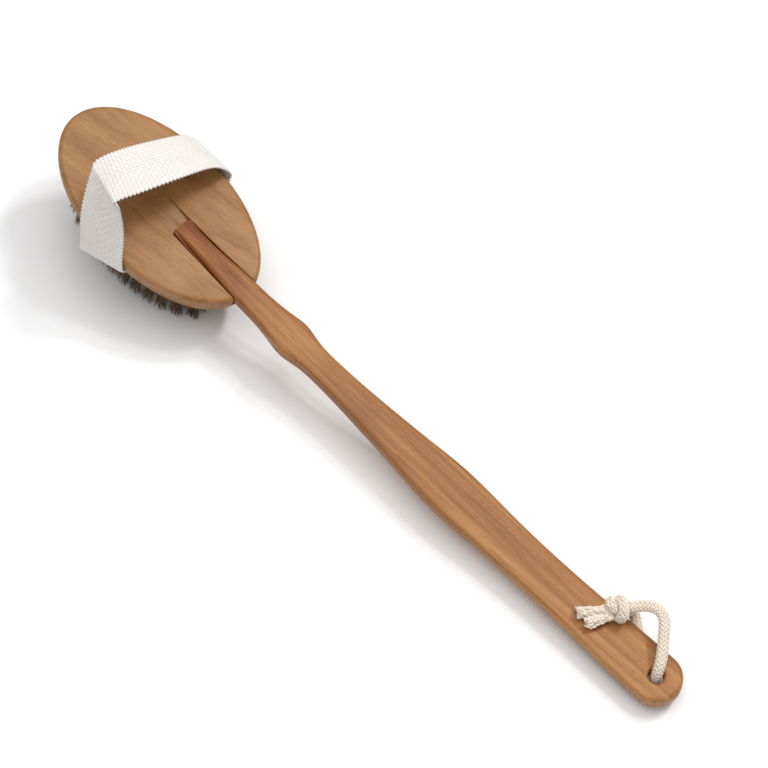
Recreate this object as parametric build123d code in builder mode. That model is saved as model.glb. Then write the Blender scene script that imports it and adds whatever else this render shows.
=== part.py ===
from build123d import *
from math import cos, pi, radians, sin, sqrt, tan
import os

# Long-handled body brush with a detachable handle, in millimetres, +Z up.
# +X runs from the head to the handle's tip.  The brush rests as it is put down:
# the front bristles on the surface z = 0, and the handle's tip on its rope loop.
os.makedirs("parts", exist_ok=True)

# ---------------------------------------------------------------- driving sizes
# Head
HEAD_LENGTH = 127.0
HEAD_WIDTH = 72.0
HEAD_X = -144.7
HEAD_Z = 53.7
HEAD_PITCH = 12.5
BACK_THICKNESS = 9.0
BACK_ROUNDING = 2.5
UNDERCUT = 2.5
PLATE_THICKNESS = 9.0
PLATE_ROUNDING = 2.0

# Bristles
TUFT_LENGTH = 27.4
ROW_PITCH = 7.2
TUFT_PITCH = 6.8
TUFT_ROWS = 6
FIELD_LENGTH = 100.0
FIELD_WIDTH = 52.0
HOLE_RADIUS = 1.7
HOLE_DEPTH = 6.0
TUFT_ROOT_RADIUS = 1.6
TUFT_TIP_RADIUS = 2.9
TUFT_SPLAY = 4.0
TUFT_STANDOFF = 0.35
ANCHOR_WIDTH = 3.0
ANCHOR_HEIGHT = 1.6
ANCHOR_GAUGE = 0.5

# Handle
TIP_X = 208.1
TIP_TOP = 15.0
TIP_SLOPE = 0.0077
BOW_RADIUS = 1729.0
HANDLE_THICKNESS = 8.8
HANDLE_ROUNDING = 2.2
TIP_RADIUS = 13.0
ROPE_HOLE_RADIUS = 4.0
ROPE_HOLE_ROUNDING = 1.5

# Sliding dovetail between the handle and the head
RAMP_START = -2.0
RAMP_ANGLE = 6.9
DOVETAIL_ANGLE = 8.0
TENON_START = 15.6
TENON_CLEARANCE = 0.3

# Hand strap
STRAP_WIDTH = 26.0
STRAP_THICKNESS = 1.8
STRAP_HEIGHT = 37.0
STRAP_LEAN = 18.0
STRAP_GAP = 0.5
TAB_DEPTH = 13.0
STAPLE_WIRE = 0.8
STAPLE_CROWN = 9.0
STAPLE_LEG = 6.0

# Rope loop
ROPE_DIAMETER = 6.0
KNOT_RADIUS = 7.0
KNOT_CENTRE = (161.5, 10.0, 23.2)
STRAND_END_RADIUS = 2.8
FRAYED_RADIUS = 3.3

centred_base = (Align.CENTER, Align.CENTER, Align.MIN)

# ---------------------------------------------------------------- frames of the head
pitch = radians(HEAD_PITCH)
along = Vector(cos(pitch), 0, -sin(pitch))
upward = Vector(sin(pitch), 0, cos(pitch))
head_centre = Vector(HEAD_X, 0, HEAD_Z)
back_face = Plane(origin=head_centre, x_dir=along, z_dir=upward)
joint_depth = BACK_THICKNESS
base_depth = BACK_THICKNESS + PLATE_THICKNESS


def head_point(u, y, w):
    """A point given along the head, across it and above its back face."""
    return head_centre + along * u + Vector(0, y, 0) + upward * w


# The slot's floor is a ramp that starts at the back face and falls towards the rim.
ramp_pitch = pitch + radians(RAMP_ANGLE)
ramp_along = Vector(cos(ramp_pitch), 0, -sin(ramp_pitch))
ramp_normal = Vector(sin(ramp_pitch), 0, cos(ramp_pitch))
ramp_floor = Plane(origin=head_point(RAMP_START, 0, 0), x_dir=ramp_along, z_dir=ramp_normal)
tenon_floor = ramp_floor.offset(TENON_CLEARANCE)


def top_height(x):
    """Height of the handle's gently bowed upper face."""
    reach = TIP_X - x
    return TIP_TOP + TIP_SLOPE * reach + reach**2 / (2 * BOW_RADIUS)


# ---------------------------------------------------------------- tuft positions
def tuft_row(index):
    """Positions across the head of one row's tufts; its end tufts lie on the field's oval outline."""
    u = index * ROW_PITCH
    half_width = FIELD_WIDTH / 2 * sqrt(1 - (2 * u / FIELD_LENGTH) ** 2)
    gaps = round(2 * half_width / TUFT_PITCH)
    return [(u, half_width * (2 * step / gaps - 1)) for step in range(gaps + 1)]


rows = {index: tuft_row(index) for index in range(-TUFT_ROWS, TUFT_ROWS + 1)}
all_tufts = [place for row in rows.values() for place in row]
across = Vector(0, 1, 0)


def tuft_axis(u, y, depth=0.0):
    """A tuft's own frame at the plate's lower face, pointing down and a little outwards."""
    lean_u = tan(radians(TUFT_SPLAY)) * 2 * u / FIELD_LENGTH
    lean_y = tan(radians(TUFT_SPLAY)) * 2 * y / FIELD_WIDTH
    direction = along * lean_u + across * lean_y - upward
    mouth = Plane(head_point(u, y, -base_depth), x_dir=direction.cross(across), z_dir=direction)
    return mouth.offset(-depth)


# ---------------------------------------------------------------- strap staples
staple_level = -joint_depth - STRAP_THICKNESS
staple_rows = (-6.5, 6.5)
tab_inner = HEAD_WIDTH / 2 - TAB_DEPTH
staple_y = tab_inner + 4.0


def staple_solids(side):
    """Two staples that nail one strap end up into the back plate."""
    with BuildPart() as staples:
        for u in staple_rows:
            crown = Plane(head_point(u, side * staple_y, staple_level), x_dir=along, z_dir=-upward)
            with BuildSketch(crown):
                Rectangle(STAPLE_CROWN, STAPLE_WIRE)
            extrude(amount=STAPLE_WIRE)
            with BuildSketch(crown.offset(STAPLE_WIRE)):
                with GridLocations(STAPLE_CROWN - STAPLE_WIRE, 0, 2, 1):
                    Rectangle(STAPLE_WIRE, STAPLE_WIRE)
            extrude(amount=-(STAPLE_LEG + STAPLE_WIRE))
    return staples


strap_staples_left = staple_solids(-1)
strap_staples_left.part.label = "strap_staples_left"
export_step(strap_staples_left.part, "parts/strap_staples_left.step")

strap_staples_right = staple_solids(1)
strap_staples_right.part.label = "strap_staples_right"
export_step(strap_staples_right.part, "parts/strap_staples_right.step")

# ---------------------------------------------------------------- back plate
with BuildPart() as back_plate:
    with BuildSketch(back_face):
        Ellipse(HEAD_LENGTH / 2, HEAD_WIDTH / 2)
    extrude(amount=-BACK_THICKNESS)
    fillet(back_plate.edges(), radius=BACK_ROUNDING)
    # Dovetail slot: wider at the rim than at its run-out, and a loose fit on one side.
    with BuildSketch(ramp_floor):
        with BuildLine():
            Polyline(
                (-8, -3.9),
                (18, -7.1),
                (72, -8.8),
                (72, 9.0),
                (40, 6.6),
                (18, 5.95),
                (-8, 5.4),
                close=True,
            )
        make_face()
    extrude(amount=14, taper=DOVETAIL_ANGLE, mode=Mode.SUBTRACT)
    add(strap_staples_left.part, mode=Mode.SUBTRACT)
    add(strap_staples_right.part, mode=Mode.SUBTRACT)
back_plate.part.label = "back_plate"
export_step(back_plate.part, "parts/back_plate.step")

# ---------------------------------------------------------------- bristle plate
pocket_depth = STRAP_THICKNESS + STAPLE_WIRE + 0.1
with BuildPart() as bristle_plate:
    with BuildSketch(back_face.offset(-joint_depth)):
        Ellipse(HEAD_LENGTH / 2 - UNDERCUT, HEAD_WIDTH / 2 - UNDERCUT)
    extrude(amount=-PLATE_THICKNESS)
    fillet(bristle_plate.edges().group_by(Axis(head_centre, upward))[0], radius=PLATE_ROUNDING)
    # Shallow pockets for the strap's ends and their staples.
    with BuildSketch(back_face.offset(-joint_depth)):
        with GridLocations(0, HEAD_WIDTH, 1, 2):
            Rectangle(STRAP_WIDTH + 1, 2 * TAB_DEPTH + 1)
    extrude(amount=-pocket_depth, mode=Mode.SUBTRACT)
    # Drilled tuft holes, fanned out towards the rim.
    with Locations(*[tuft_axis(u, y) for u, y in all_tufts]):
        Cylinder(HOLE_RADIUS, 2 * HOLE_DEPTH, mode=Mode.SUBTRACT)
bristle_plate.part.label = "bristle_plate"
export_step(bristle_plate.part, "parts/bristle_plate.step")

# ---------------------------------------------------------------- bristles and anchors
with BuildPart() as tuft_anchors:
    with Locations(*[tuft_axis(u, y, HOLE_DEPTH) for u, y in all_tufts]):
        Box(ANCHOR_WIDTH, ANCHOR_GAUGE, ANCHOR_HEIGHT, align=centred_base)
tuft_anchors.part.label = "tuft_anchors"
export_step(tuft_anchors.part, "parts/tuft_anchors.step")

root_depth = HOLE_DEPTH - 0.1
for index, row in rows.items():
    row_number = index + TUFT_ROWS + 1
    with BuildPart() as bristle_row:
        with Locations(*[tuft_axis(u, y, root_depth) for u, y in row]):
            Cylinder(TUFT_ROOT_RADIUS, root_depth + TUFT_STANDOFF, align=centred_base)
        with Locations(*[tuft_axis(u, y, -TUFT_STANDOFF) for u, y in row]):
            Cone(TUFT_ROOT_RADIUS, TUFT_TIP_RADIUS, TUFT_LENGTH, align=centred_base)
        with Locations(*[tuft_axis(u, y, HOLE_DEPTH) for u, y in row]):
            Box(ANCHOR_WIDTH, ANCHOR_GAUGE, ANCHOR_HEIGHT, align=centred_base, mode=Mode.SUBTRACT)
        split(bisect_by=Plane.XY, keep=Keep.TOP)
    bristle_row.part.label = f"bristle_row_{row_number:02d}"
    export_step(bristle_row.part, f"parts/bristle_row_{row_number:02d}.step")

# ---------------------------------------------------------------- hand strap
# Each end lies between the two plates; the webbing turns up outside the rim and arches over
# the back, leaning towards the far end of the head.
outer_half = HEAD_WIDTH / 2 + STRAP_GAP + STRAP_THICKNESS
inner_half = HEAD_WIDTH / 2 + STRAP_GAP
lean = radians(STRAP_LEAN)
lean_width = along * cos(lean) + upward * sin(lean)
side_section = Plane(head_centre, x_dir=(0, 1, 0), z_dir=along)
arch_section = Plane(head_centre, x_dir=(0, 1, 0), z_dir=lean_width)
with BuildPart() as hand_strap:
    with BuildSketch(side_section):
        with Locations((0, -joint_depth)):
            Rectangle(2 * outer_half, STRAP_THICKNESS, align=(Align.CENTER, Align.MAX))
        with GridLocations(inner_half + outer_half, 0, 2, 1):
            with Locations((0, -joint_depth)):
                Rectangle(STRAP_THICKNESS, joint_depth + 4, align=(Align.CENTER, Align.MIN))
        Rectangle(2 * tab_inner, 4 * joint_depth, mode=Mode.SUBTRACT)
    extrude(amount=STRAP_WIDTH / 2, both=True)
    with BuildSketch(arch_section):
        Ellipse(outer_half, STRAP_HEIGHT)
        Ellipse(inner_half, STRAP_HEIGHT - STRAP_THICKNESS, mode=Mode.SUBTRACT)
        Rectangle(3 * outer_half, 3 * outer_half, align=(Align.CENTER, Align.MAX), mode=Mode.SUBTRACT)
    extrude(amount=STRAP_WIDTH / 2, both=True)
    add(strap_staples_left.part, mode=Mode.SUBTRACT)
    add(strap_staples_right.part, mode=Mode.SUBTRACT)
hand_strap.part.label = "hand_strap"
export_step(hand_strap.part, "parts/hand_strap.step")

# ---------------------------------------------------------------- handle
tenon_end_x = head_point(TENON_START, 0, 0).X
tip_centre_x = TIP_X - TIP_RADIUS
bow_mid_x = 40.0
past_tip_x = TIP_X + 1
with BuildPart() as handle:
    # Plan outline, from the tenon's inner end to the rounded tip.
    with BuildSketch(Plane.XY):
        with BuildLine():
            edge = Spline(
                (tenon_end_x, 5.15),
                (-107, 5.6),
                (-85, 6.9),
                (-73, 7.2),
                (-60, 8.6),
                (-50, 9.7),
                (-41, 8.2),
                (-26, 7.4),
                (2, 8.7),
                (36, 11.4),
                (57, 12.9),
                (86, 12.1),
                (120, 11.4),
                (162, 12.3),
                (tip_centre_x, TIP_RADIUS),
                tangents=[(1, 0), (1, 0)],
            )
            mirror(edge, about=Plane.XZ)
            ThreePointArc(edge @ 1, (TIP_X, 0), (tip_centre_x, -TIP_RADIUS))
            Line(edge @ 0, (tenon_end_x, -5.15))
        make_face()
    extrude(amount=80)
    # Bowed side profile, of even thickness.
    with BuildSketch(Plane.XZ):
        with BuildLine():
            upper = ThreePointArc(
                (tenon_end_x - 1, top_height(tenon_end_x - 1)),
                (bow_mid_x, top_height(bow_mid_x)),
                (past_tip_x, top_height(past_tip_x)),
            )
            lower = ThreePointArc(
                (tenon_end_x - 1, top_height(tenon_end_x - 1) - HANDLE_THICKNESS),
                (bow_mid_x, top_height(bow_mid_x) - HANDLE_THICKNESS),
                (past_tip_x, top_height(past_tip_x) - HANDLE_THICKNESS),
            )
            Line(upper @ 0, lower @ 0)
            Line(upper @ 1, lower @ 1)
        make_face()
    extrude(amount=20, both=True, mode=Mode.INTERSECT)
    broad_faces = handle.faces().sort_by(SortBy.AREA)[-2:]
    long_edges = broad_faces.edges().sort_by(Axis.X)[2:]
    fillet(long_edges, radius=HANDLE_ROUNDING)
    # The tenon's underside is cut back to the slot's ramp.
    with BuildSketch(Plane(tenon_floor.origin, x_dir=ramp_along, z_dir=(0, -1, 0))):
        with Locations((-10, 0)):
            Rectangle(90, 30, align=(Align.MIN, Align.MAX))
    extrude(amount=20, both=True, mode=Mode.SUBTRACT)
    # Flared foot of the dovetail along the tenon's base.
    with BuildSketch(tenon_floor):
        with BuildLine():
            Polyline(
                (18, -5.6),
                (40, -6.2),
                (62, -8.0),
                (62, 8.0),
                (40, 6.2),
                (18, 5.6),
                close=True,
            )
        make_face()
    extrude(amount=1.6, taper=DOVETAIL_ANGLE)
    # Hanging hole with rounded mouths.
    with Locations((tip_centre_x, 0, TIP_TOP)):
        Cylinder(ROPE_HOLE_RADIUS, 40, mode=Mode.SUBTRACT)
    hole_mouths = handle.edges().filter_by(lambda edge: edge.is_closed)
    fillet(hole_mouths, radius=ROPE_HOLE_ROUNDING)
handle.part.label = "handle"
export_step(handle.part, "parts/handle.step")

# ---------------------------------------------------------------- rope loop
# From the knot, out past the handle's edge, down through the hole, back under the handle on
# the surface that the brush lies on, and up past the edge into the knot again.
rope_route = [
    (164.8, 13.5, 25.5),
    (170.5, 20.5, 27.0),
    (180.0, 21.5, 28.0),
    (187.3, 12.5, 25.0),
    (193.0, 5.3, 21.5),
    (195.0, 0.3, 15.5),
    (195.0, 0.1, 3.1),
    (185.3, 6.4, 3.1),
    (175.3, 15.0, 3.2),
    (167.3, 19.2, 8.0),
    (163.8, 17.6, 15.5),
    (161.8, 12.5, 19.5),
]


def corner_radii(route):
    """The largest tangent arcs that the runs beside each corner leave room for."""
    points = [Vector(*point) for point in route]
    radii = []
    for before, corner, after in zip(points, points[1:], points[2:]):
        run_in = corner - before
        run_out = after - corner
        half_turn = radians(run_in.get_angle(run_out)) / 2
        radii.append(0.45 * min(run_in.length, run_out.length) / tan(half_turn))
    return radii


rope_radii = corner_radii(rope_route)
with BuildPart() as rope_loop:
    with BuildLine() as rope_line:
        FilletPolyline(*rope_route, radius=rope_radii)
    with BuildSketch(Plane(origin=rope_line.line @ 0, z_dir=rope_line.line % 0)):
        Circle(ROPE_DIAMETER / 2)
    sweep(path=rope_line.wire())
rope_loop.part.label = "rope_loop"
export_step(rope_loop.part, "parts/rope_loop.step")
rope_section = pi * ROPE_DIAMETER**2 / 4
rope_length = rope_line.wire().length
print("rope radii", [round(radius, 1) for radius in rope_radii])
print("rope length", round(rope_length, 1))
print("rope volume ratio", round(rope_loop.part.volume / (rope_section * rope_length), 3))

# ---------------------------------------------------------------- rope ends and knot
strand_ends = {
    "rope_end_upper": ((157.0, 8.0, 21.0), (146.3, -2.0, 20.1)),
    "rope_end_lower": ((160.5, 3.0, 20.2), (152.0, -6.5, 19.9)),
}
frayed_parts = []
for end_name, (inner, outer) in strand_ends.items():
    reach = Vector(*outer) - Vector(*inner)
    with BuildPart() as rope_end:
        with Locations(Plane(origin=inner, z_dir=reach)):
            Cone(STRAND_END_RADIUS, FRAYED_RADIUS, reach.length, align=centred_base)
    rope_end.part.label = end_name
    export_step(rope_end.part, f"parts/{end_name}.step")
    frayed_parts.append(rope_end.part)

with BuildPart() as rope_knot:
    with Locations(KNOT_CENTRE):
        Sphere(KNOT_RADIUS)
    add(rope_loop.part, mode=Mode.SUBTRACT)
    add(frayed_parts, mode=Mode.SUBTRACT)
rope_knot.part.label = "rope_knot"
export_step(rope_knot.part, "parts/rope_knot.step")
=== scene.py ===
import random

import bpy
import numpy as np
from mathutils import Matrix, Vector
from math import cos, pi, radians, sin, sqrt, tan


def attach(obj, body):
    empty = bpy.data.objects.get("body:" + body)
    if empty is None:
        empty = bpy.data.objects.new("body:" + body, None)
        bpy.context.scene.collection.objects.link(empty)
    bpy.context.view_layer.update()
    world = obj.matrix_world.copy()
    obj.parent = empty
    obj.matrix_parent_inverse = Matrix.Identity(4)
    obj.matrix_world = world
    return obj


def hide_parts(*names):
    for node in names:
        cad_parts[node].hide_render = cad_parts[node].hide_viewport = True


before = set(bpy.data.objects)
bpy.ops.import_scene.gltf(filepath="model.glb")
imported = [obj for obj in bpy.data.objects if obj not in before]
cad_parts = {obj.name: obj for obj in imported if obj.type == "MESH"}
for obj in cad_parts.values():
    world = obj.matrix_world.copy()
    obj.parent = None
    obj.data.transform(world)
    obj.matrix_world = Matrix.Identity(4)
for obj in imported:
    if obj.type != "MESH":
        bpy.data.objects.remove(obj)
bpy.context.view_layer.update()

MM = 0.001
dice = random.Random(11)
GOLDEN_ANGLE = pi * (3 - sqrt(5))

# ------------------------------------------------------------------ the head's own frame
# u runs along the head towards the handle, y across it, w up from its back face.
HEAD_CENTRE = np.array((-144.7, 0.0, 53.7)) * MM
HEAD_PITCH = radians(12.5)
ALONG = np.array((cos(HEAD_PITCH), 0.0, -sin(HEAD_PITCH)))
ACROSS = np.array((0.0, 1.0, 0.0))
UPWARD = np.array((sin(HEAD_PITCH), 0.0, cos(HEAD_PITCH)))


def head_point(u, y, w):
    """A point of the head, from millimetres in its own frame to metres in the row frame."""
    return HEAD_CENTRE + (ALONG * u + ACROSS * y + UPWARD * w) * MM


# ------------------------------------------------------------------ camera
CAMERA_TARGET = Vector((-3.5, 16.8, 25.0)) * MM
CAMERA_PLACE = Vector((491.6, -484.0, 1349.4)) * MM
LENS = 141.84

camera_data = bpy.data.cameras.new("camera")
camera_data.lens = LENS
camera_data.sensor_width = 36.0
camera = bpy.data.objects.new("camera", camera_data)
camera.location = CAMERA_PLACE
camera.rotation_euler = (CAMERA_TARGET - CAMERA_PLACE).to_track_quat("-Z", "Y").to_euler()
bpy.context.scene.collection.objects.link(camera)
bpy.context.scene.camera = camera
bpy.context.scene.view_settings.view_transform = "Standard"


# ------------------------------------------------------------------ materials
def material_of(name, roughness):
    """A new material with a principled shader, and the calls that add and join its nodes."""
    material = bpy.data.materials.new(name)
    material.use_nodes = True
    tree = material.node_tree
    shader = tree.nodes["Principled BSDF"]
    shader.inputs["Roughness"].default_value = roughness
    return material, tree, shader


def mapped(tree, source, scale, rotation=(0.0, 0.0, 0.0)):
    """Coordinates from source, scaled and turned."""
    mapping = tree.nodes.new("ShaderNodeMapping")
    mapping.inputs["Scale"].default_value = scale
    mapping.inputs["Rotation"].default_value = rotation
    tree.links.new(source, mapping.inputs["Vector"])
    return mapping.outputs["Vector"]


def noise(tree, vector, scale, detail=3.0, distortion=0.0):
    """A noise texture's value at these coordinates."""
    texture = tree.nodes.new("ShaderNodeTexNoise")
    texture.inputs["Scale"].default_value = scale
    texture.inputs["Detail"].default_value = detail
    texture.inputs["Distortion"].default_value = distortion
    tree.links.new(vector, texture.inputs["Vector"])
    return texture.outputs["Fac"]


def ramp(tree, value, *stops):
    """A colour ramp; each stop is a position and a linear colour or grey."""
    node = tree.nodes.new("ShaderNodeValToRGB")
    elements = node.color_ramp.elements
    while len(elements) < len(stops):
        elements.new(0.5)
    for element, (position, colour) in zip(elements, stops):
        element.position = position
        element.color = (*colour, 1.0) if hasattr(colour, "__len__") else (colour, colour, colour, 1.0)
    tree.links.new(value, node.inputs["Fac"])
    return node.outputs["Color"]


def mixed(tree, blend, factor, first, second):
    """Two colours mixed; factor is a socket or a number."""
    node = tree.nodes.new("ShaderNodeMix")
    node.data_type = "RGBA"
    node.blend_type = blend
    for socket, value in ((node.inputs[0], factor), (node.inputs[6], first), (node.inputs[7], second)):
        if hasattr(value, "node"):
            tree.links.new(value, socket)
        else:
            socket.default_value = value
    return node.outputs[2]


def bump(tree, shader, height, distance, strength=1.0):
    """Fine relief on the shader, from a height socket."""
    node = tree.nodes.new("ShaderNodeBump")
    node.inputs["Distance"].default_value = distance
    node.inputs["Strength"].default_value = strength
    tree.links.new(height, node.inputs["Height"])
    tree.links.new(node.outputs["Normal"], shader.inputs["Normal"])


def wood(name, turn, tones, streak, band_scale, line_scale, dark_end=None):
    """Smooth close-grained wood whose grain runs along X turned by turn.

    tones are its dark, middle and pale colours, and dark_end is where its colour deepens: the place of
    the full depth and the place where it has faded out, in metres along X.
    """
    material, tree, shader = material_of(name, 0.5)
    shader.inputs["Specular IOR Level"].default_value = 0.3
    dark, middle, pale = tones
    place = tree.nodes.new("ShaderNodeTexCoord").outputs["Object"]
    grain = mapped(tree, place, (1.0, 1.0, 1.0), turn)
    bands = noise(tree, mapped(tree, grain, (2.5, band_scale, band_scale * 0.4)), 1.0, 2.0, 0.15)
    colour = ramp(tree, bands, (0.32, dark), (0.50, middle), (0.66, pale))
    cloud = noise(tree, mapped(tree, grain, (14.0, 45.0, 45.0)), 1.0, 3.0, 0.4)
    colour = mixed(tree, "MULTIPLY", 0.3, colour, ramp(tree, cloud, (0.34, (0.86, 0.83, 0.80)), (0.62, 1.0)))
    rings = noise(tree, mapped(tree, grain, (4.0, 640.0, 260.0)), 1.0, 2.0, 0.1)
    colour = mixed(tree, "MULTIPLY", 0.55, colour, ramp(tree, rings, (0.33, 0.80), (0.52, 1.0)))
    lines = noise(tree, mapped(tree, grain, (1.6, line_scale, line_scale * 0.35)), 1.0, 0.0)
    strength = noise(tree, mapped(tree, grain, (22.0, 60.0, 60.0)), 1.0, 1.0)
    line_mask = mixed(
        tree,
        "MULTIPLY",
        1.0,
        ramp(tree, lines, (0.455, 0.0), (0.498, 0.75), (0.512, 0.0)),
        ramp(tree, strength, (0.38, 0.15), (0.60, 1.0)),
    )
    colour = mixed(tree, "MIX", line_mask, colour, (*streak, 1.0))
    flecks = noise(tree, mapped(tree, grain, (210.0, 1700.0, 1700.0)), 1.0, 1.0)
    colour = mixed(tree, "MULTIPLY", 0.6, colour, ramp(tree, flecks, (0.28, 0.66), (0.40, 1.0)))
    if dark_end:
        split = tree.nodes.new("ShaderNodeSeparateXYZ")
        tree.links.new(place, split.inputs["Vector"])
        reach = tree.nodes.new("ShaderNodeMapRange")
        reach.inputs["From Min"].default_value, reach.inputs["From Max"].default_value = dark_end
        reach.inputs["To Min"].default_value = 1.0
        reach.inputs["To Max"].default_value = 0.0
        tree.links.new(split.outputs["X"], reach.inputs["Value"])
        colour = mixed(tree, "MULTIPLY", reach.outputs["Result"], colour, (0.66, 0.42, 0.24, 1.0))
    tree.links.new(colour, shader.inputs["Base Color"])
    tree.links.new(ramp(tree, rings, (0.3, 0.52), (0.7, 0.38)), shader.inputs["Roughness"])
    bump(tree, shader, flecks, 0.00012, 0.35)
    return material


head_wood = wood(
    "head_wood_grain",
    (0.0, HEAD_PITCH, -radians(10.6)),
    ((0.300, 0.136, 0.041), (0.345, 0.165, 0.052), (0.390, 0.197, 0.068)),
    (0.250, 0.100, 0.028),
    120.0,
    85.0,
)
handle_wood = wood(
    "handle_wood_grain",
    (0.0, 0.03, 0.0),
    ((0.275, 0.103, 0.025), (0.350, 0.144, 0.038), (0.435, 0.198, 0.062)),
    (0.250, 0.080, 0.020),
    230.0,
    190.0,
    (-0.128, -0.060),
)


def cotton(name, pale, shaded, fibre_scale, relief, gaps=None):
    """Undyed cotton with fine fibres and a soft sheen.

    gaps names the mesh attribute that holds the weave's depth, which darkens the places between yarns as
    painted shade.
    """
    material, tree, shader = material_of(name, 0.92)
    place = tree.nodes.new("ShaderNodeTexCoord").outputs["Object"]
    fibres = noise(tree, mapped(tree, place, (1.0, 1.0, 1.0)), fibre_scale, 4.0, 0.4)
    tone = noise(tree, mapped(tree, place, (1.0, 1.0, 1.0)), 160.0, 2.0)
    colour = ramp(tree, fibres, (0.30, shaded), (0.62, pale))
    colour = mixed(tree, "MULTIPLY", 0.35, colour, ramp(tree, tone, (0.3, 0.86), (0.65, 1.0)))
    if gaps:
        # Painted shade: the low places of the weave between the yarns are darkened in the colour.
        depth = tree.nodes.new("ShaderNodeAttribute")
        depth.attribute_name = gaps
        shade = ramp(tree, depth.outputs["Fac"], (0.0, (0.74, 0.71, 0.68)), (0.45, 1.0))
        colour = mixed(tree, "MULTIPLY", 1.0, colour, shade)
    tree.links.new(colour, shader.inputs["Base Color"])
    shader.inputs["Sheen Weight"].default_value = 0.15
    shader.inputs["Sheen Roughness"].default_value = 0.5
    shader.inputs["Specular IOR Level"].default_value = 0.15
    bump(tree, shader, fibres, relief, 0.6)
    return material


strap_cotton = cotton(
    "strap_cotton_weave",
    (0.86, 0.825, 0.79),
    (0.79, 0.75, 0.71),
    2200.0,
    0.00025,
    "weave_depth",
)
rope_cotton = cotton("rope_cotton_yarn", (0.88, 0.785, 0.66), (0.79, 0.685, 0.555), 2600.0, 0.00020)
frayed_cotton = cotton("frayed_cotton_yarn", (0.90, 0.80, 0.68), (0.80, 0.695, 0.57), 3200.0, 0.00025)


def bristle_hair_with_painted_shade():
    """Natural brown bristle, uneven from hair to hair, with painted shade: its tones are darkened to how the
    hairs look in the shade under the head.
    """
    material, tree, shader = material_of("bristle_with_painted_shade", 0.6)
    shader.inputs["Specular IOR Level"].default_value = 0.2
    place = tree.nodes.new("ShaderNodeTexCoord").outputs["Object"]
    turned = mapped(tree, place, (1.0, 1.0, 1.0), (0.0, HEAD_PITCH, 0.0))
    hairs = noise(tree, mapped(tree, turned, (900.0, 900.0, 25.0)), 1.0, 2.0)
    # Painted shade: these tones are darker than the hairs' own brown, as they look in the shade under the
    # head.
    dark, middle, pale = (0.055, 0.024, 0.009), (0.140, 0.072, 0.029), (0.27, 0.160, 0.070)
    colour = ramp(tree, hairs, (0.30, dark), (0.50, middle), (0.72, pale))
    tree.links.new(colour, shader.inputs["Base Color"])
    return material


bristle_painted_shade_material = bristle_hair_with_painted_shade()


def steel_wire():
    """Bright drawn steel wire with fine draw marks."""
    material, tree, shader = material_of("drawn_steel", 0.32)
    place = tree.nodes.new("ShaderNodeTexCoord").outputs["Object"]
    marks = noise(tree, mapped(tree, place, (900.0, 9000.0, 9000.0)), 1.0, 2.0)
    colour = ramp(tree, marks, (0.3, (0.50, 0.50, 0.49)), (0.7, (0.66, 0.65, 0.63)))
    tree.links.new(colour, shader.inputs["Base Color"])
    tree.links.new(ramp(tree, marks, (0.3, 0.26), (0.7, 0.40)), shader.inputs["Roughness"])
    shader.inputs["Metallic"].default_value = 1.0
    return material


steel = steel_wire()


def paint(node, material):
    """Gives a carried-over CAD node this material in every slot."""
    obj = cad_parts[node]
    for material_slot in obj.material_slots:
        material_slot.material = material


paint("back_plate", head_wood)
paint("bristle_plate", head_wood)
paint("handle", handle_wood)
for hidden_node in ("tuft_anchors", "strap_staples_left", "strap_staples_right"):
    paint(hidden_node, steel)


# ------------------------------------------------------------------ mesh helpers
def mesh_piece(name, verts, faces, material, body):
    """A smooth-shaded mesh piece that rides on a CAD body."""
    mesh = bpy.data.meshes.new(name)
    mesh.from_pydata([tuple(vert) for vert in verts], [], faces)
    mesh.validate()
    mesh.polygons.foreach_set("use_smooth", [True] * len(mesh.polygons))
    mesh.materials.append(material)
    piece = bpy.data.objects.new(name, mesh)
    bpy.context.scene.collection.objects.link(piece)
    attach(piece, body)
    return piece


def unit(vectors):
    """Vectors of length one along the last axis."""
    return vectors / np.maximum(np.linalg.norm(vectors, axis=-1, keepdims=True), 1e-12)


def tube(centres, side, out, half_width, half_height, sides, verts, faces):
    """Adds a closed tube of elliptic section to verts and faces; side and out are its section's axes."""
    first = len(verts)
    count = len(centres)
    half_width = np.broadcast_to(half_width, count)
    half_height = np.broadcast_to(half_height, count)
    for index in range(count):
        for corner in range(sides):
            angle = 2 * pi * corner / sides
            across = side[index] * cos(angle) * half_width[index]
            verts.append(centres[index] + (across + out[index] * sin(angle) * half_height[index]))
    for index in range(count - 1):
        for corner in range(sides):
            here = first + index * sides + corner
            beside = first + index * sides + (corner + 1) % sides
            faces.append((here, beside, beside + sides, here + sides))
    faces.append(tuple(first + corner for corner in reversed(range(sides))))
    faces.append(tuple(first + (count - 1) * sides + corner for corner in range(sides)))


def evenly(points, step):
    """The same line with points at equal spacing along it."""
    points = np.asarray(points, float)
    lengths = np.concatenate(([0.0], np.cumsum(np.linalg.norm(np.diff(points, axis=0), axis=1))))
    marks = np.linspace(0.0, lengths[-1], max(4, int(round(lengths[-1] / step)) + 1))
    return np.stack([np.interp(marks, lengths, points[:, axis]) for axis in range(3)], axis=1), marks


def carried_frame(points):
    """Tangent, side and normal of a line, carried along it without twist."""
    tangents = unit(np.gradient(points, axis=0))
    reference = np.array((0.0, 0.0, 1.0)) if abs(tangents[0][2]) < 0.9 else np.array((1.0, 0.0, 0.0))
    side = unit(np.cross(tangents[0], reference))
    sides = [side]
    for tangent in tangents[1:]:
        side = unit(side - tangent * float(side @ tangent))
        sides.append(side)
    sides = np.array(sides)
    return tangents, sides, np.cross(tangents, sides)


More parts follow.
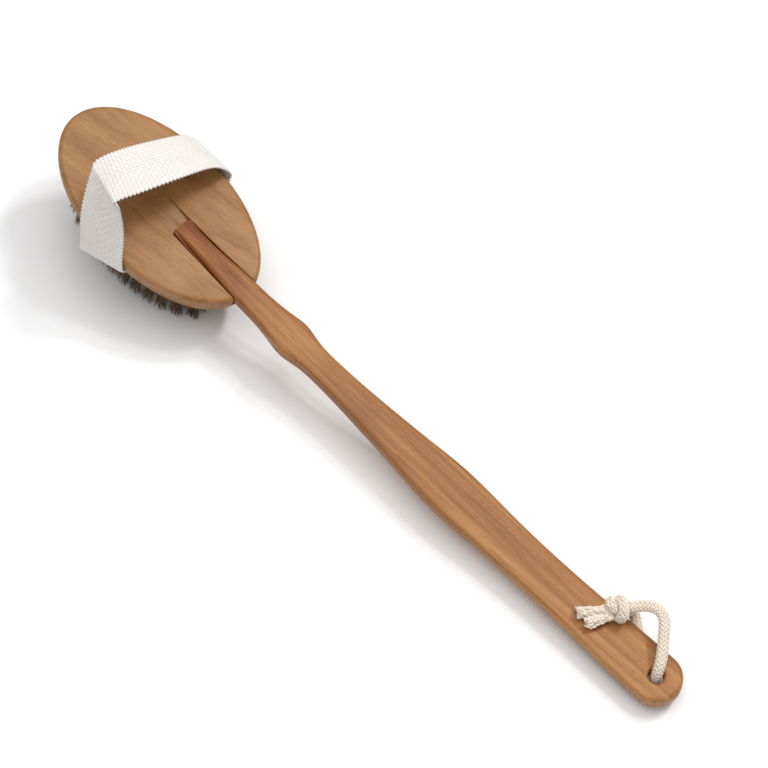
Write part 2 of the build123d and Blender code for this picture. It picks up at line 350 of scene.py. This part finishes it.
def nurbs_line(route):
    """The line of an open NURBS spline with these control points, in metres."""
    curve = bpy.data.curves.new("route", "CURVE")
    curve.dimensions = "3D"
    curve.resolution_u = 24
    spline = curve.splines.new("NURBS")
    spline.points.add(len(route) - 1)
    for point, place in zip(spline.points, route):
        point.co = (*place, 1.0)
    spline.order_u = 3
    spline.use_endpoint_u = True
    holder = bpy.data.objects.new("route", curve)
    bpy.context.scene.collection.objects.link(holder)
    bpy.context.view_layer.update()
    line = bpy.data.meshes.new_from_object(holder.evaluated_get(bpy.context.evaluated_depsgraph_get()))
    points = np.array([vert.co for vert in line.vertices], float)
    bpy.data.objects.remove(holder)
    bpy.data.curves.remove(curve)
    bpy.data.meshes.remove(line)
    return points


# ------------------------------------------------------------------ braided rope
ROPE_RADIUS = 3.0 * MM
CARRIERS = 8
BRAID_PITCH = 17.0 * MM


def braid(points, radius, verts, faces, step=0.55 * MM):
    """Adds a braided rope along a line: eight strands each way round, two over and two under."""
    line, marks = evenly(points, step)
    tangents, sides, normals = carried_frame(line)
    thickness = 0.15 * radius
    weave = 0.105 * radius
    ring = radius - thickness - weave
    strand_width = 0.215 * radius
    for way in (1, -1):
        for carrier in range(CARRIERS):
            turn = way * 2 * pi * marks / BRAID_PITCH + 2 * pi * carrier / CARRIERS
            crossing = way * 2 * CARRIERS * marks / BRAID_PITCH + 2 * carrier
            reach = ring + way * weave * np.cos(pi / 2 * crossing + pi / 4)
            outward = sides * np.cos(turn)[:, None] + normals * np.sin(turn)[:, None]
            centres = line + outward * reach[:, None]
            run = unit(np.gradient(centres, axis=0))
            tube(centres, unit(np.cross(run, outward)), outward, strand_width, thickness, 6, verts, faces)
    tube(line, sides, normals, ring - 0.05 * radius, ring - 0.05 * radius, 12, verts, faces)
    return line


# The CAD tube's route: from the knot over the handle's edge, down through the hole, back under the
# handle along the floor, and up past the edge into the knot. The ninth to eleventh points are drawn
# in by up to 5 mm, so that the hidden strand comes up closer to the knot.
ROPE_ROUTE = [
    (0.1648, 0.0135, 0.0255),
    (0.1705, 0.0205, 0.0270),
    (0.1800, 0.0215, 0.0280),
    (0.1873, 0.0125, 0.0250),
    (0.1930, 0.0053, 0.0215),
    (0.1950, 0.0003, 0.0155),
    (0.1950, 0.0001, 0.0031),
    (0.1853, 0.0064, 0.0031),
    (0.1705, 0.0145, 0.0032),
    (0.1640, 0.0194, 0.0080),
    (0.1622, 0.0178, 0.0155),
    (0.1618, 0.0125, 0.0195),
]
rope_verts, rope_faces = [], []
rope_line = braid(nurbs_line(ROPE_ROUTE), ROPE_RADIUS, rope_verts, rope_faces)
rope_loop = mesh_piece("rope_loop_braid", rope_verts, rope_faces, rope_cotton, "grip")
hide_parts("rope_loop")

# The knot: the rope's own turns about the bundle that leaves it towards the frayed ends.
KNOT_CENTRE = np.array((161.5, 10.0, 23.2)) * MM
KNOT_AXIS = unit(np.array((-0.729, -0.682, -0.061)))
KNOT_FACING = np.array((0.3301, -0.3339, 0.8829))
KNOT_FRONT = unit(KNOT_FACING - KNOT_AXIS * float(np.dot(KNOT_FACING, KNOT_AXIS)))
KNOT_UP = np.cross(KNOT_AXIS, KNOT_FRONT)


def knot_point(shift, angle, radius):
    """A point of the knot: along its axis, and round it in degrees from the front, in millimetres."""
    turn = radians(angle)
    return KNOT_CENTRE + (KNOT_AXIS * shift + (KNOT_FRONT * cos(turn) + KNOT_UP * sin(turn)) * radius) * MM


# How far each place of the turns is along the knot's axis, its angle round it, and its radius.
KNOT_TURNS = [
    (-5.0, -150, 0.5),
    (-4.5, -170, 3.0),
    (-1.0, -160, 4.6),
    (0.3, -110, 4.8),
    (-1.4, -55, 4.7),
    (-2.4, 0, 4.6),
    (-1.6, 55, 4.7),
    (0.2, 110, 4.7),
    (1.2, 160, 4.4),
    (2.6, 200, 3.9),
    (4.0, 150, 3.9),
    (4.6, 100, 3.9),
    (4.0, 55, 3.4),
    (2.5, 20, 1.5),
    (1.0, 0, 0.5),
]
knot_verts, knot_faces = [], []
braid(nurbs_line([knot_point(*turn) for turn in KNOT_TURNS]), 2.9 * MM, knot_verts, knot_faces, 0.6 * MM)
rope_knot = mesh_piece("rope_knot_turns", knot_verts, knot_faces, rope_cotton, "grip")
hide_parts("rope_knot")


YARNS = 13
YARN_RADIUS = 0.66 * MM
PLY_OFFSET = 0.38 * MM


def frayed_end(name, node, root, tip):
    """A cut rope end whose yarns have come apart, each a two-ply twist."""
    root = np.array(root) * MM
    tip = np.array(tip) * MM
    axis = unit(tip - root)
    level = unit(np.cross(axis, (0.0, 0.0, 1.0)))
    above = np.cross(level, axis)
    verts, faces = [], []
    stations = np.linspace(0.0, 1.0, 26)
    for yarn in range(YARNS):
        ring = sqrt((yarn + 0.5) / YARNS)
        angle = yarn * GOLDEN_ANGLE
        wander = [dice.uniform(-0.35, 0.35) * MM for _ in range(4)]
        reach = dice.uniform(0.90, 1.04)
        spread = (2.15 + 0.75 * stations**1.6) * ring * MM
        along_axis = root[None] + (tip - root)[None] * (stations * reach)[:, None]
        slow_level = wander[0] * np.sin(2.2 * pi * stations + yarn)
        slow_above = wander[2] * np.sin(2.7 * pi * stations + 2 * yarn)
        wave_level = slow_level + wander[1] * np.sin(5.1 * pi * stations)
        wave_above = slow_above + wander[3] * np.sin(4.3 * pi * stations)
        swirl = angle + 0.9 * stations
        centres = (
            along_axis
            + level[None] * (spread * np.cos(swirl) + wave_level)[:, None]
            + above[None] * (0.8 * spread * np.sin(swirl) + wave_above)[:, None]
        )
        tangents, sides, normals = carried_frame(centres)
        for ply in (0, 1):
            twist = 2 * pi * 3.2 * stations + pi * ply + yarn
            offset = sides * np.cos(twist)[:, None] + normals * np.sin(twist)[:, None]
            radius = YARN_RADIUS * (1.0 - 0.25 * np.clip((stations - 0.9) / 0.1, 0, 1))
            tube(centres + offset * PLY_OFFSET, sides, normals, radius, radius, 6, verts, faces)
    piece = mesh_piece(name, verts, faces, frayed_cotton, "grip")
    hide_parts(node)
    return piece


end_upper = frayed_end("rope_end_upper_yarns", "rope_end_upper", (160.9, 9.9, 22.2), (147.6, -4.6, 20.6))
end_lower = frayed_end("rope_end_lower_yarns", "rope_end_lower", (160.4, 6.6, 20.6), (154.1, -5.9, 20.0))

# ------------------------------------------------------------------ hand strap
# The webbing's middle line from the left tab over the arch to the right tab: u, y and w in the
# head's frame in millimetres, then its width's turn towards +y and its rise at the near selvedge,
# in degrees. Only the places where it bends or turns are listed.
STRAP_ROUTE = [
    (0, -24, -9.9, 0, 0),  # left tab, clamped between the plates
    (0, -31, -9.9, 0, 0),
    (1, -39, -10, 13, 8),  # round the left rim
    (-1, -39, -3, 11, 7),
    (-8, -33, 13, 11, 11),  # left leg
    (-15, -26, 29, -10, 8),
    (-18, -23, 32, -22, 9),  # crease at the crest
    (-14, -11, 33, -20, 6),
    (-8, 8, 29, -8, 10),  # top, falling to the right
    (-4, 27, 17, -3, 13),
    (-1, 37, 2, 0, 4),  # round the right rim
    (0, 37, -5, 0, 0),
    (0, 32, -9.9, 0, 0),  # right tab
    (0, 24, -9.9, 0, 0),
]
STRAP_WIDTH = 26.0 * MM
STRAP_HALF_THICKNESS = 0.72 * MM
RIB_PITCH = 1.65 * MM
WEFT_PITCH = 2.0 * MM
WEAVE_RELIEF = 0.20 * MM
SELVEDGE_SCALLOP = 0.42 * MM
STRAP_STEP = 0.40 * MM


def smooth_line(points, per_span=16):
    """A Catmull-Rom line through points."""
    points = np.asarray(points, float)
    padded = np.vstack((2 * points[0] - points[1], points, 2 * points[-1] - points[-2]))
    line = []
    for before, start, end, after in zip(padded, padded[1:], padded[2:], padded[3:]):
        for part in np.arange(per_span) / per_span:
            line.append(
                0.5
                * (
                    2 * start
                    + (end - before) * part
                    + (2 * before - 5 * start + 4 * end - after) * part**2
                    + (3 * start - before - 3 * end + after) * part**3
                )
            )
    line.append(points[-1])
    return np.array(line)


def weave_height(run, across):
    """Plain weave of thick warp ribs along the strap and weft across it, from -1 to 1."""
    column = np.round(across / RIB_PITCH)
    row = np.round(run / WEFT_PITCH)
    in_column = 2 * (across / RIB_PITCH - column)
    in_row = 2 * (run / WEFT_PITCH - row)
    warp = np.cos(pi * run / WEFT_PITCH + pi * column) * np.sqrt(1 - 0.85 * in_column**2)
    weft = -np.cos(pi * across / RIB_PITCH + pi * row) * np.sqrt(1 - 0.85 * in_row**2)
    return np.maximum(warp, 0.75 * weft) - 0.4


def strap_edge(side):
    """One selvedge: side is -1 for the far one and 1 for the near one."""
    corners = []
    for u, y, w, turn, rise in STRAP_ROUTE:
        turn, rise = radians(turn), radians(rise)
        reach = side * STRAP_WIDTH / 2 / MM
        corners.append(
            head_point(
                u + reach * cos(rise) * cos(turn),
                y + reach * cos(rise) * sin(turn),
                w + reach * sin(rise),
            )
        )
    return smooth_line(corners)


far_edge, near_edge = strap_edge(-1), strap_edge(1)
middle = (far_edge + near_edge) / 2
middle_lengths = np.concatenate(([0.0], np.cumsum(np.linalg.norm(np.diff(middle, axis=0), axis=1))))
strap_length = float(middle_lengths[-1])
runs = np.linspace(0.0, strap_length, int(strap_length / STRAP_STEP))
far_edge = np.stack([np.interp(runs, middle_lengths, far_edge[:, axis]) for axis in range(3)], axis=1)
near_edge = np.stack([np.interp(runs, middle_lengths, near_edge[:, axis]) for axis in range(3)], axis=1)


def strap_piece():
    """The webbing: two woven faces joined round scalloped selvedges."""
    columns = int(STRAP_WIDTH / STRAP_STEP)
    shares = np.linspace(-1.0, 1.0, columns)
    centre = (far_edge + near_edge) / 2
    reach = (near_edge - far_edge) / 2
    reach = unit(reach) * STRAP_WIDTH / 2
    scallop = SELVEDGE_SCALLOP * np.cos(2 * pi * runs / WEFT_PITCH)
    edge_way = unit(reach)
    run_grid, share_grid = np.meshgrid(runs, shares, indexing="ij")
    surface = centre[:, None] + reach[:, None] * share_grid[..., None]
    edge_share = np.sign(share_grid) * np.abs(share_grid) ** 12 * scallop[:, None]
    surface = surface + edge_way[:, None] * edge_share[..., None]
    along = np.gradient(surface, axis=0)
    sideways = np.gradient(surface, axis=1)
    normals = unit(np.cross(sideways, along))
    rounding = np.sqrt(np.clip(1 - np.abs(share_grid) ** 14, 0.0, 1.0))
    height = weave_height(run_grid, share_grid * STRAP_WIDTH / 2)
    top = surface + normals * ((STRAP_HALF_THICKNESS + WEAVE_RELIEF * height) * rounding)[..., None]
    low = surface - normals * ((STRAP_HALF_THICKNESS - WEAVE_RELIEF * height) * rounding)[..., None]
    rows = len(runs)
    verts = list(top.reshape(-1, 3)) + list(low.reshape(-1, 3))
    under = rows * columns
    faces = []
    for row in range(rows - 1):
        for column in range(columns - 1):
            here = row * columns + column
            faces.append((here, here + columns, here + columns + 1, here + 1))
            faces.append((under + here, under + here + 1, under + here + columns + 1, under + here + columns))
        first = row * columns
        last = first + columns - 1
        faces.append((first, under + first, under + first + columns, first + columns))
        faces.append((last, last + columns, under + last + columns, under + last))
    for column in range(columns - 1):
        faces.append((column, column + 1, under + column + 1, under + column))
        end = (rows - 1) * columns + column
        faces.append((end, under + end, under + end + 1, end + 1))
    piece = mesh_piece("hand_strap_webbing", verts, faces, strap_cotton, "head")
    # The weave's depth at each point, which the strap's material turns into painted shade between the yarns.
    depth = piece.data.attributes.new("weave_depth", "FLOAT", "POINT")
    depths = np.concatenate((height.ravel() + 0.4, 0.4 - height.ravel())).astype(np.float32)
    depth.data.foreach_set("value", depths)
    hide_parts("hand_strap")
    return piece


strap = strap_piece()

# ------------------------------------------------------------------ bristles
ROW_PITCH = 7.2
TUFT_PITCH = 6.8
TUFT_ROWS = 6
FIELD_LENGTH = 100.0
FIELD_WIDTH = 52.0
TUFT_SPLAY = 4.0
TUFT_LENGTH = 27.4
BASE_DEPTH = 18.0
ROOT_SPREAD = 1.35
TIP_SPREAD_ALONG = 3.9
TIP_SPREAD_ACROSS = 2.6
HAIRS = 64
HAIR_RADIUS = 0.19 * MM
FLOOR_GAP = 0.1 * MM


def hair(verts, faces, root, bend, tip):
    """Adds one bristle: a thin three-sided rod, bent a little at its middle."""
    first = len(verts)
    lean = unit(tip - root)
    side = unit(np.cross(lean, ALONG))
    out = np.cross(lean, side)
    for place, radius in ((root, HAIR_RADIUS), (bend, HAIR_RADIUS * 0.95), (tip, HAIR_RADIUS * 0.65)):
        for corner in range(3):
            angle = 2 * pi * corner / 3
            verts.append(place + (side * cos(angle) + out * sin(angle)) * radius)
    for ring in (0, 3):
        for corner in range(3):
            here = first + ring + corner
            beside = first + ring + (corner + 1) % 3
            faces.append((here, beside, beside + 3, here + 3))
    faces.append((first + 6, first + 7, first + 8))
    faces.append((first + 2, first + 1, first))


def bristle_row(index):
    """One row of tufts, each a bundle of separate bristles that stops at the floor."""
    verts, faces = [], []
    u = index * ROW_PITCH
    half_width = FIELD_WIDTH / 2 * sqrt(1 - (2 * u / FIELD_LENGTH) ** 2)
    gaps = round(2 * half_width / TUFT_PITCH)
    for step in range(gaps + 1):
        y = half_width * (2 * step / gaps - 1)
        mouth = head_point(u, y, -BASE_DEPTH)
        lean_u = tan(radians(TUFT_SPLAY)) * 2 * u / FIELD_LENGTH
        lean_y = tan(radians(TUFT_SPLAY)) * 2 * y / FIELD_WIDTH
        axis = unit(ALONG * lean_u + ACROSS * lean_y - UPWARD)
        first_side = unit(np.cross(axis, ACROSS))
        second_side = np.cross(axis, first_side)
        for count in range(HAIRS):
            ring = sqrt((count + 0.5) / HAIRS)
            angle = count * GOLDEN_ANGLE + dice.uniform(-0.3, 0.3)
            away = first_side * cos(angle) + second_side * sin(angle)
            spread = first_side * cos(angle) * TIP_SPREAD_ALONG + second_side * sin(angle) * TIP_SPREAD_ACROSS
            length = (TUFT_LENGTH - dice.uniform(0.0, 0.8)) * MM
            root = mouth + away * ROOT_SPREAD * ring * MM + axis * 0.4 * MM * dice.uniform(-2.0, 0.5)
            tip = mouth + axis * length + spread * ring * MM
            tip = tip + (first_side * dice.uniform(-0.5, 0.5) + second_side * dice.uniform(-0.5, 0.5)) * MM
            bend = root * 0.5 + tip * 0.5 - away * 0.25 * MM * ring
            if tip[2] < FLOOR_GAP:
                tip = root + (tip - root) * (root[2] - FLOOR_GAP) / (root[2] - tip[2])
            hair(verts, faces, root, bend, tip)
    number = index + TUFT_ROWS + 1
    piece = mesh_piece(f"bristle_row_{number:02d}_hairs", verts, faces, bristle_painted_shade_material, "head")
    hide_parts(f"bristle_row_{number:02d}")


for row_index in range(-TUFT_ROWS, TUFT_ROWS + 1):
    bristle_row(row_index)

# ------------------------------------------------------------------ floor and light
FLOOR_SIZE = 6.0
floor_material, floor_tree, floor_shader = material_of("pale_floor", 0.9)
floor_place = floor_tree.nodes.new("ShaderNodeTexCoord").outputs["Object"]
floor_tone = noise(floor_tree, floor_place, 3.0, 2.0)
floor_colour = ramp(floor_tree, floor_tone, (0.3, (0.94, 0.94, 0.945)), (0.7, (0.95, 0.95, 0.95)))
floor_tree.links.new(floor_colour, floor_shader.inputs["Base Color"])
floor_shader.inputs["Specular IOR Level"].default_value = 0.1

floor_mesh = bpy.data.meshes.new("floor")
half = FLOOR_SIZE / 2
floor_corners = [(-half, -half, 0), (half, -half, 0), (half, half, 0), (-half, half, 0)]
floor_mesh.from_pydata(floor_corners, [], [(0, 1, 2, 3)])
floor_mesh.materials.append(floor_material)
floor = bpy.data.objects.new("floor", floor_mesh)
bpy.context.scene.collection.objects.link(floor)


def softbox(name, place, size, power, colour=(1.0, 1.0, 1.0)):
    """A square area light that faces the middle of the object."""
    light = bpy.data.lights.new(name, "AREA")
    light.shape = "SQUARE"
    light.size = size
    light.energy = power
    light.color = colour
    lamp = bpy.data.objects.new(name, light)
    lamp.location = place
    lamp.rotation_euler = (Vector((0, 0, 0)) - Vector(place)).to_track_quat("-Z", "Y").to_euler()
    bpy.context.scene.collection.objects.link(lamp)


softbox("key", (0.25, 1.08, 1.80), 0.22, 9.5)
softbox("second", (0.45, 0.84, 1.95), 0.22, 7.0)
softbox("overhead", (0.0, 0.0, 2.6), 2.4, 44.0)

world = bpy.data.worlds.new("studio")
world.use_nodes = True
background = world.node_tree.nodes["Background"]
background.inputs["Color"].default_value = (1.0, 1.0, 1.0, 1.0)
background.inputs["Strength"].default_value = 0.36
bpy.context.scene.world = world
